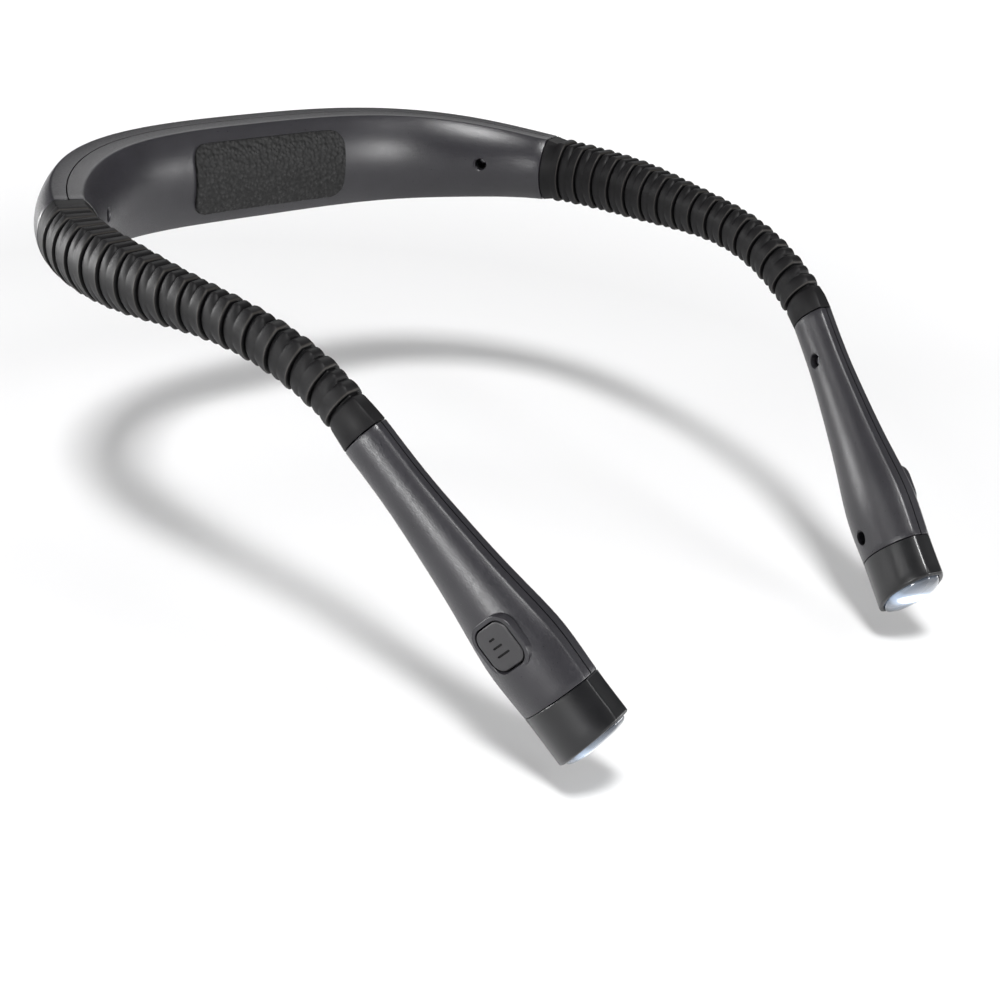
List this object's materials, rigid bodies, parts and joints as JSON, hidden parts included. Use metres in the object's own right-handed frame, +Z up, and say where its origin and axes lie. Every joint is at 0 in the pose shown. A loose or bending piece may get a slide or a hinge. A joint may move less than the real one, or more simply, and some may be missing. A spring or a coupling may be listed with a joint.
{
  "type": "neck reading light",
  "caption": "Wearable neck reading light: curved rear housing with a nape pad, two flexible ribbed gooseneck arms and two button-operated LED lamp heads.",
  "frame": {"origin": "middle of the nape pad's face", "axes": "+Z up as worn, -Y forward to the light, +X to the light's left-hand arm seen from the front; mirrored about X = 0"},
  "size_m": [0.1746, 0.2113, 0.0825],
  "materials": {
    "charcoal_plastic": "satin moulded charcoal",
    "nape_foam": "black pebbled leatherette over foam",
    "black_silicone": "soft satin silicone",
    "gloss_black_plastic": "polished black",
    "button_rubber": "soft matt",
    "clear_plastic": "clear moulded lens",
    "reflector_chrome": "vacuum-metallised",
    "light_source": "white light source, glowing",
    "plated_steel": "zinc plated",
    "aluminium": "satin",
    "circuit_board": "green solder mask",
    "cell_wrap": "shrink wrap"
  },
  "bodies": {
    "housing": {"housing_outer_shell": "charcoal_plastic", "housing_inner_shell": "charcoal_plastic", "nape_pad": "nape_foam", "battery_cell": "cell_wrap", "charge_board": "circuit_board", "usb_socket": "plated_steel", "right_housing_screw": "plated_steel", "left_housing_screw": "plated_steel", "right_housing_ferrule": "aluminium", "left_housing_ferrule": "aluminium"},
    "right_arm": {"right_sleeve": "black_silicone", "right_gooseneck_spine": "plated_steel"},
    "right_head": {"right_head_ferrule": "aluminium", "right_head_outer_shell": "charcoal_plastic", "right_head_inner_shell": "charcoal_plastic", "right_neck_screw": "plated_steel", "right_nose_screw": "plated_steel", "right_bezel": "gloss_black_plastic", "right_lens": "clear_plastic", "right_reflector": "reflector_chrome", "right_led_board": "aluminium", "right_led": "light_source", "right_tact_switch": "gloss_black_plastic", "right_switch_board": "circuit_board"},
    "right_button_cap": {"right_button": "button_rubber"},
    "left_arm": {"left_sleeve": "black_silicone", "left_gooseneck_spine": "plated_steel"},
    "left_head": {"left_head_ferrule": "aluminium", "left_head_outer_shell": "charcoal_plastic", "left_head_inner_shell": "charcoal_plastic", "left_neck_screw": "plated_steel", "left_nose_screw": "plated_steel", "left_bezel": "gloss_black_plastic", "left_lens": "clear_plastic", "left_reflector": "reflector_chrome", "left_led_board": "aluminium", "left_led": "light_source", "left_tact_switch": "gloss_black_plastic", "left_switch_board": "circuit_board"},
    "left_button_cap": {"left_button": "button_rubber"}
  },
  "joints": [
    {"name": "right_arm_swing", "type": "hinge", "parent": "housing", "child": "right_arm", "pos_m": [0.08065, -0.05753, 0.00005], "axis": [0, 0, 1], "range_deg": [-15, 30], "deforming": ["right_sleeve", "right_gooseneck_spine"]},
    {"name": "right_head_tilt", "type": "hinge", "parent": "right_arm", "child": "right_head", "pos_m": [0.07441, -0.10927, -0.00265], "axis": [-0.9803, 0.1857, 0.0674], "range_deg": [-40, 40], "deforming": ["right_sleeve", "right_gooseneck_spine"]},
    {"name": "right_button_press", "type": "slide", "parent": "right_head", "child": "right_button_cap", "axis": [-0.967, 0.2364, 0.095], "range_m": [0, 0.0005], "stiffness_N_per_m": 400},
    {"name": "left_arm_swing", "type": "hinge", "parent": "housing", "child": "left_arm", "pos_m": [-0.08065, -0.05753, 0.00005], "axis": [0, 0, -1], "range_deg": [-15, 30], "deforming": ["left_sleeve", "left_gooseneck_spine"]},
    {"name": "left_head_tilt", "type": "hinge", "parent": "left_arm", "child": "left_head", "pos_m": [-0.07441, -0.10927, -0.00265], "axis": [-0.9803, -0.1857, -0.0674], "range_deg": [-40, 40], "deforming": ["left_sleeve", "left_gooseneck_spine"]},
    {"name": "left_button_press", "type": "slide", "parent": "left_head", "child": "left_button_cap", "axis": [0.967, 0.2364, 0.095], "range_m": [0, 0.0005], "stiffness_N_per_m": 400}
  ]
}
